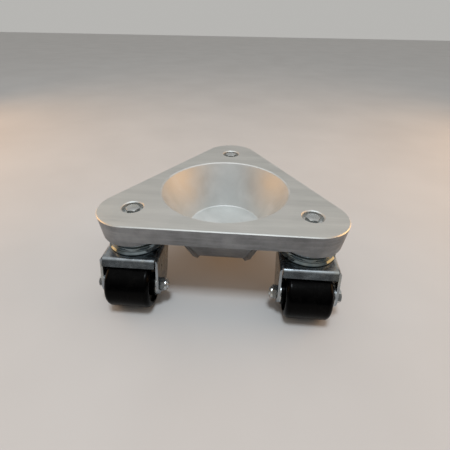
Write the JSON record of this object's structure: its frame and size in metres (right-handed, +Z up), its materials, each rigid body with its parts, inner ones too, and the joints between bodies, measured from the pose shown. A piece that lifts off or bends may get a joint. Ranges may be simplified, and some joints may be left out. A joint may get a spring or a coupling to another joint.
{
  "type": "furniture dolly",
  "caption": "Low triangular cast aluminium furniture dolly with a conical leg cup in its deck and a swivel caster with a wide black wheel under each corner.",
  "frame": {"origin": "centre of the cup's flat floor, where the furniture's foot stands", "axes": "+Z up out of the cup; the deck's flat front edge faces -Y and its rear corner points along +Y; +X to the right seen from the front"},
  "size_m": [0.2554, 0.2523, 0.1009],
  "materials": {
    "cast_aluminium": "cast sides, machined top and cup",
    "zinc_fastener": "bright zinc plate",
    "zinc_race": "bright zinc plate, turned",
    "zinc_yoke": "zinc plated pressed sheet",
    "bearing_steel": "polished, greased",
    "sintered_bronze": "oiled sintered bronze",
    "black_wheel": "smooth hard black tread"
  },
  "bodies": {
    "root": {"deck_casting": "cast_aluminium", "front_left_king_tube": "zinc_race", "front_left_lower_race": "zinc_race", "front_left_mounting_bolt": "zinc_fastener", "front_left_mounting_nut": "zinc_fastener", "front_left_mounting_washer": "zinc_fastener", "front_left_top_race": "zinc_race", "front_right_king_tube": "zinc_race", "front_right_lower_race": "zinc_race", "front_right_mounting_bolt": "zinc_fastener", "front_right_mounting_nut": "zinc_fastener", "front_right_mounting_washer": "zinc_fastener", "front_right_top_race": "zinc_race", "rear_king_tube": "zinc_race", "rear_lower_race": "zinc_race", "rear_mounting_bolt": "zinc_fastener", "rear_mounting_nut": "zinc_fastener", "rear_mounting_washer": "zinc_fastener", "rear_top_race": "zinc_race"},
    "front_left_swivel": {"front_left_axle_bolt": "zinc_fastener", "front_left_axle_nut": "zinc_fastener", "front_left_axle_sleeve": "bearing_steel", "front_left_lower_balls": "bearing_steel", "front_left_thrust_washers": "zinc_fastener", "front_left_upper_balls": "bearing_steel", "front_left_yoke": "zinc_yoke"},
    "front_left_wheel_body": {"front_left_hub_bushing": "sintered_bronze", "front_left_wheel": "black_wheel"},
    "front_right_swivel": {"front_right_axle_bolt": "zinc_fastener", "front_right_axle_nut": "zinc_fastener", "front_right_axle_sleeve": "bearing_steel", "front_right_lower_balls": "bearing_steel", "front_right_thrust_washers": "zinc_fastener", "front_right_upper_balls": "bearing_steel", "front_right_yoke": "zinc_yoke"},
    "front_right_wheel_body": {"front_right_hub_bushing": "sintered_bronze", "front_right_wheel": "black_wheel"},
    "rear_swivel": {"rear_axle_bolt": "zinc_fastener", "rear_axle_nut": "zinc_fastener", "rear_axle_sleeve": "bearing_steel", "rear_lower_balls": "bearing_steel", "rear_thrust_washers": "zinc_fastener", "rear_upper_balls": "bearing_steel", "rear_yoke": "zinc_yoke"},
    "rear_wheel_body": {"rear_hub_bushing": "sintered_bronze", "rear_wheel": "black_wheel"}
  },
  "joints": [
    {"name": "front_left_swivel", "type": "hinge", "parent": "root", "child": "front_left_swivel", "pos_m": [-0.0918, -0.053, 0], "axis": [0, 0, 1], "continuous": true},
    {"name": "front_left_wheel_spin", "type": "hinge", "parent": "front_left_swivel", "child": "front_left_wheel_body", "pos_m": [-0.0918, -0.085, -0.0245], "axis": [1, 0, 0], "continuous": true},
    {"name": "front_right_swivel", "type": "hinge", "parent": "root", "child": "front_right_swivel", "pos_m": [0.0918, -0.053, 0], "axis": [0, 0, 1], "continuous": true},
    {"name": "front_right_wheel_spin", "type": "hinge", "parent": "front_right_swivel", "child": "front_right_wheel_body", "pos_m": [0.0918, -0.085, -0.0245], "axis": [1, 0, 0], "continuous": true},
    {"name": "rear_swivel", "type": "hinge", "parent": "root", "child": "rear_swivel", "pos_m": [0, 0.106, 0], "axis": [0, 0, 1], "continuous": true},
    {"name": "rear_wheel_spin", "type": "hinge", "parent": "rear_swivel", "child": "rear_wheel_body", "pos_m": [0, 0.074, -0.0245], "axis": [1, 0, 0], "continuous": true}
  ]
}
